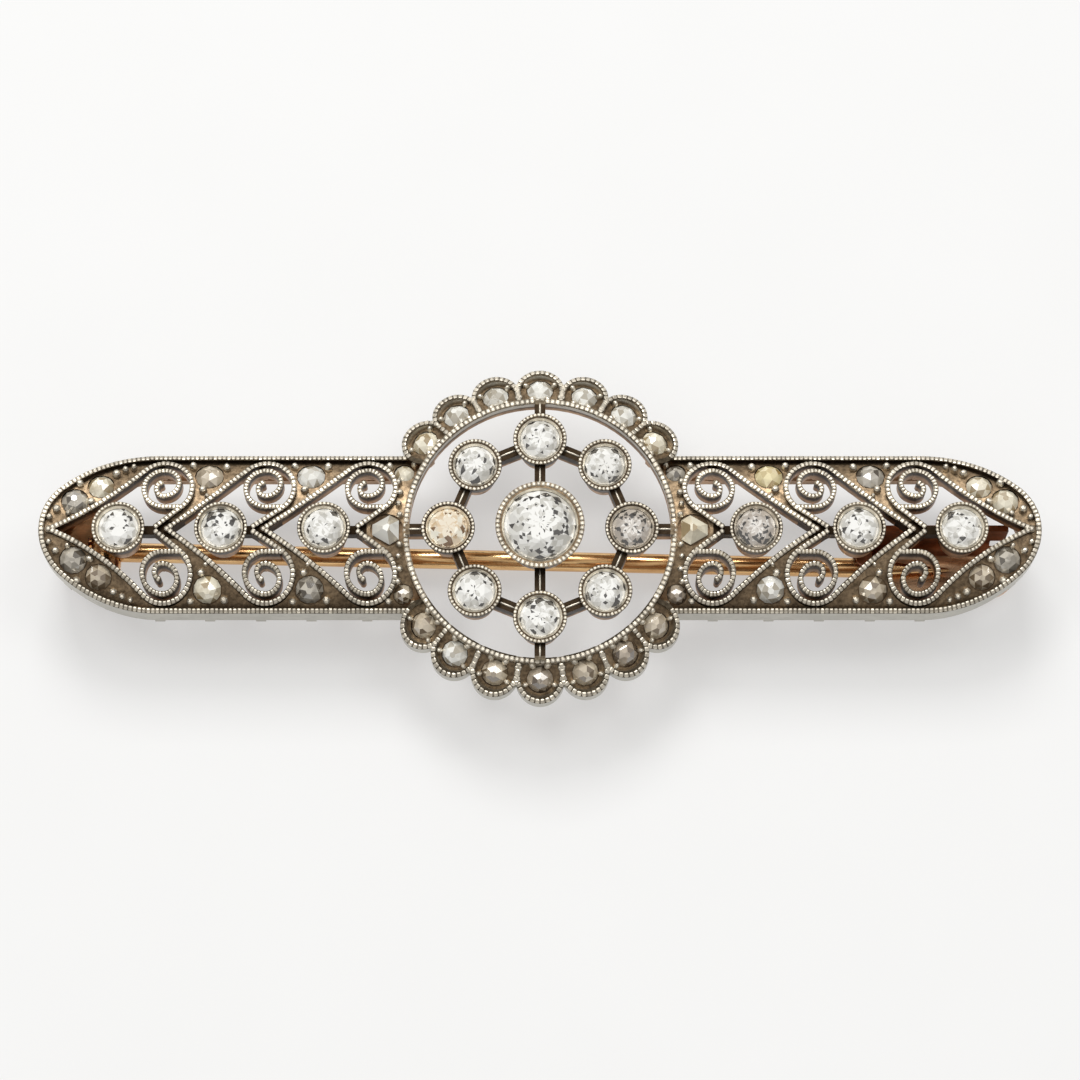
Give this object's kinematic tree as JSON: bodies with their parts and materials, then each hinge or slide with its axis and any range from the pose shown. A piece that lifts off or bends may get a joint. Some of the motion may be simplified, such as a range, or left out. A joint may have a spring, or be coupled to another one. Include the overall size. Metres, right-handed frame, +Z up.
{
  "type": "openwork bar brooch",
  "caption": "Openwork bar brooch with milgrained hearts and volutes, a scalloped central ring, old-cut and rose-cut diamonds, and a gold pin on a hook catch.",
  "frame": {"origin": "on the surface the brooch lies on, below the middle of the centre diamond", "axes": "+X along the bar from the pin's hinge to its catch, +Y across the bar, up when it is worn, +Z up through the stones, out of the face"},
  "size_m": [0.0552, 0.019, 0.0074],
  "materials": {
    "silver": "oxidised silver with bright worn edges",
    "gold": "polished yellow gold with fine scratches",
    "old_cut_diamond": "cut and polished",
    "rose_cut_diamond": "rose-cut, tinted by the closed setting"
  },
  "bodies": {
    "brooch": {"openwork_mount": "silver", "center_diamond": "old_cut_diamond", "ring_diamond_1": "old_cut_diamond", "ring_diamond_2": "old_cut_diamond", "ring_diamond_3": "old_cut_diamond", "ring_diamond_4": "old_cut_diamond", "ring_diamond_5": "old_cut_diamond", "ring_diamond_6": "old_cut_diamond", "ring_diamond_7": "old_cut_diamond", "ring_diamond_8": "old_cut_diamond", "bar_diamond_1": "old_cut_diamond", "bar_diamond_2": "old_cut_diamond", "bar_diamond_3": "old_cut_diamond", "bar_diamond_4": "old_cut_diamond", "bar_diamond_5": "old_cut_diamond", "bar_diamond_6": "old_cut_diamond", "halo_rose_1": "rose_cut_diamond", "halo_rose_2": "rose_cut_diamond", "halo_rose_3": "rose_cut_diamond", "halo_rose_4": "rose_cut_diamond", "halo_rose_5": "rose_cut_diamond", "halo_rose_6": "rose_cut_diamond", "halo_rose_7": "rose_cut_diamond", "halo_rose_8": "rose_cut_diamond", "halo_rose_9": "rose_cut_diamond", "halo_rose_10": "rose_cut_diamond", "halo_rose_11": "rose_cut_diamond", "halo_rose_12": "rose_cut_diamond", "halo_rose_13": "rose_cut_diamond", "halo_rose_14": "rose_cut_diamond", "drop_rose_left": "rose_cut_diamond", "drop_rose_right": "rose_cut_diamond", "wing_roses_left": "rose_cut_diamond", "wing_roses_right": "rose_cut_diamond", "hinge_block": "gold", "hinge_rivet": "gold", "catch": "gold"},
    "pin": {"pin_stem": "gold"}
  },
  "joints": [
    {"name": "pin_swing", "type": "hinge", "parent": "brooch", "child": "pin", "pos_m": [-0.0245, 0, 0.001], "axis": [0, 1, 0], "range_deg": [0, 75]}
  ]
}
